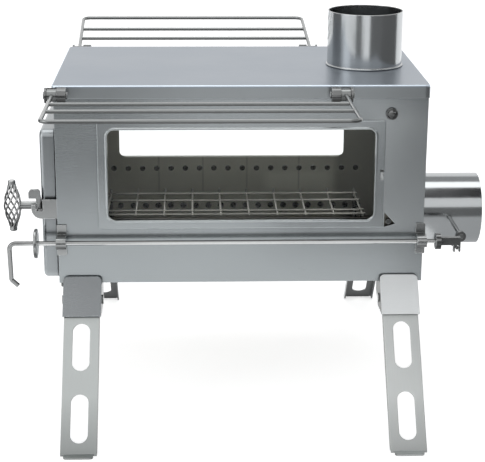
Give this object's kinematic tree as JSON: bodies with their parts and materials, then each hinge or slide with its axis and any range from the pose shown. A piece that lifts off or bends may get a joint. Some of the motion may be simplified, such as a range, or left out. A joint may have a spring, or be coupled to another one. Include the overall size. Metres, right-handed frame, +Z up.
{
  "type": "tent wood stove",
  "caption": "Box-shaped sheet-steel wood stove on folding splayed legs, with glazed sides, wire side racks, a hinged fuel door, a flue collar and an intake pipe with a rod-worked damper.",
  "frame": {"origin": "on the ground, at the centre of the object's overall length and depth with the racks down and the door shut", "axes": "+X runs along the stove from the fuel door to the intake pipe, +Y from the front with the control rod to the back, +Z up along the flue collar"},
  "size_m": [0.4849, 0.5628, 0.3869],
  "materials": {
    "brushed_sheet": "brushed stainless sheet",
    "steel_wire": "smooth drawn stainless wire",
    "steel_tube": "brushed stainless tube",
    "machined_steel": "machined stainless",
    "inner_sheet": "dull stainless sheet",
    "pane": "clear heat-resistant glass",
    "rope_seal": "flat woven fibre rope"
  },
  "bodies": {
    "body": {"top_plate": "brushed_sheet", "front_panel": "brushed_sheet", "rear_panel": "brushed_sheet", "bottom_pan": "brushed_sheet", "end_panel": "brushed_sheet", "door_frame": "brushed_sheet", "flue_collar": "steel_tube", "intake_pipe": "steel_tube", "front_window_frame": "brushed_sheet", "front_glass": "pane", "front_glass_retainer": "inner_sheet", "front_window_screws": "machined_steel", "rear_window_frame": "brushed_sheet", "rear_glass": "pane", "rear_glass_retainer": "inner_sheet", "rear_window_screws": "machined_steel", "rear_air_plate": "inner_sheet", "grate": "steel_wire", "grate_feet": "steel_wire", "rod_guide_left": "machined_steel", "rod_guide_right": "machined_steel", "latch_keeper": "brushed_sheet", "locating_stud": "machined_steel", "leg_bracket_front_left": "brushed_sheet", "leg_bracket_front_right": "brushed_sheet", "leg_bracket_rear_left": "brushed_sheet", "leg_bracket_rear_right": "brushed_sheet", "leg_pins": "machined_steel", "front_rack_hinges": "brushed_sheet", "front_rack_pins": "machined_steel", "rear_rack_hinges": "brushed_sheet", "rear_rack_pins": "machined_steel", "door_hinge_body_knuckles": "machined_steel", "door_hinge_pins": "machined_steel"},
    "door": {"door_pan": "brushed_sheet", "door_liner": "inner_sheet", "door_seal": "rope_seal", "door_hinge_door_knuckles": "machined_steel"},
    "latch": {"basket_handle": "steel_wire", "handle_shaft": "machined_steel", "shaft_nut": "machined_steel", "latch_tongue": "machined_steel"},
    "front_rack": {"front_rack": "steel_wire"},
    "rear_rack": {"rear_rack": "steel_wire"},
    "leg_front_left": {"leg_front_left": "brushed_sheet"},
    "leg_front_right": {"leg_front_right": "brushed_sheet"},
    "leg_rear_left": {"leg_rear_left": "brushed_sheet"},
    "leg_rear_right": {"leg_rear_right": "brushed_sheet"},
    "control_rod": {"control_rod": "steel_wire", "rod_disc": "machined_steel", "rod_fork": "machined_steel"},
    "damper": {"damper_spindle": "steel_wire", "damper_flap": "inner_sheet", "damper_lever": "machined_steel"}
  },
  "joints": [
    {"name": "door_swing", "type": "hinge", "parent": "body", "child": "door", "pos_m": [-0.196, 0.108, 0.2085], "axis": [0, 0, 1], "range_deg": [-110, 0]},
    {"name": "latch_turn", "type": "hinge", "parent": "door", "child": "latch", "pos_m": [-0.219, -0.092, 0.209], "axis": [1, 0, 0], "range_deg": [-90, 0]},
    {"name": "front_rack_fold", "type": "hinge", "parent": "body", "child": "front_rack", "pos_m": [-0.051, -0.119, 0.324], "axis": [1, 0, 0], "range_deg": [-98, 0]},
    {"name": "rear_rack_fold", "type": "hinge", "parent": "body", "child": "rear_rack", "pos_m": [-0.051, 0.119, 0.324], "axis": [1, 0, 0], "range_deg": [0, 98]},
    {"name": "leg_front_left_fold", "type": "hinge", "parent": "body", "child": "leg_front_left", "pos_m": [-0.1658, -0.1118, 0.1175], "axis": [1, 0, 0], "range_deg": [0, 126]},
    {"name": "leg_front_right_fold", "type": "hinge", "parent": "body", "child": "leg_front_right", "pos_m": [0.1468, -0.1118, 0.1175], "axis": [1, 0, 0], "range_deg": [0, 126]},
    {"name": "leg_rear_left_fold", "type": "hinge", "parent": "body", "child": "leg_rear_left", "pos_m": [-0.1658, 0.1118, 0.1175], "axis": [1, 0, 0], "range_deg": [-114, 0]},
    {"name": "leg_rear_right_fold", "type": "hinge", "parent": "body", "child": "leg_rear_right", "pos_m": [0.1468, 0.1118, 0.1175], "axis": [1, 0, 0], "range_deg": [-114, 0]},
    {"name": "rod_slide", "type": "slide", "parent": "body", "child": "control_rod", "axis": [1, 0, 0], "range_m": [0, 0.013]},
    {"name": "damper_turn", "type": "hinge", "parent": "body", "child": "damper", "pos_m": [0.2084, 0, 0.1778], "axis": [0, 1, 0], "range_deg": [-90, 0]}
  ],
  "couplings": [
    {"joint": "damper_turn", "follows": "rod_slide", "rad_per_m": -120.83}
  ]
}
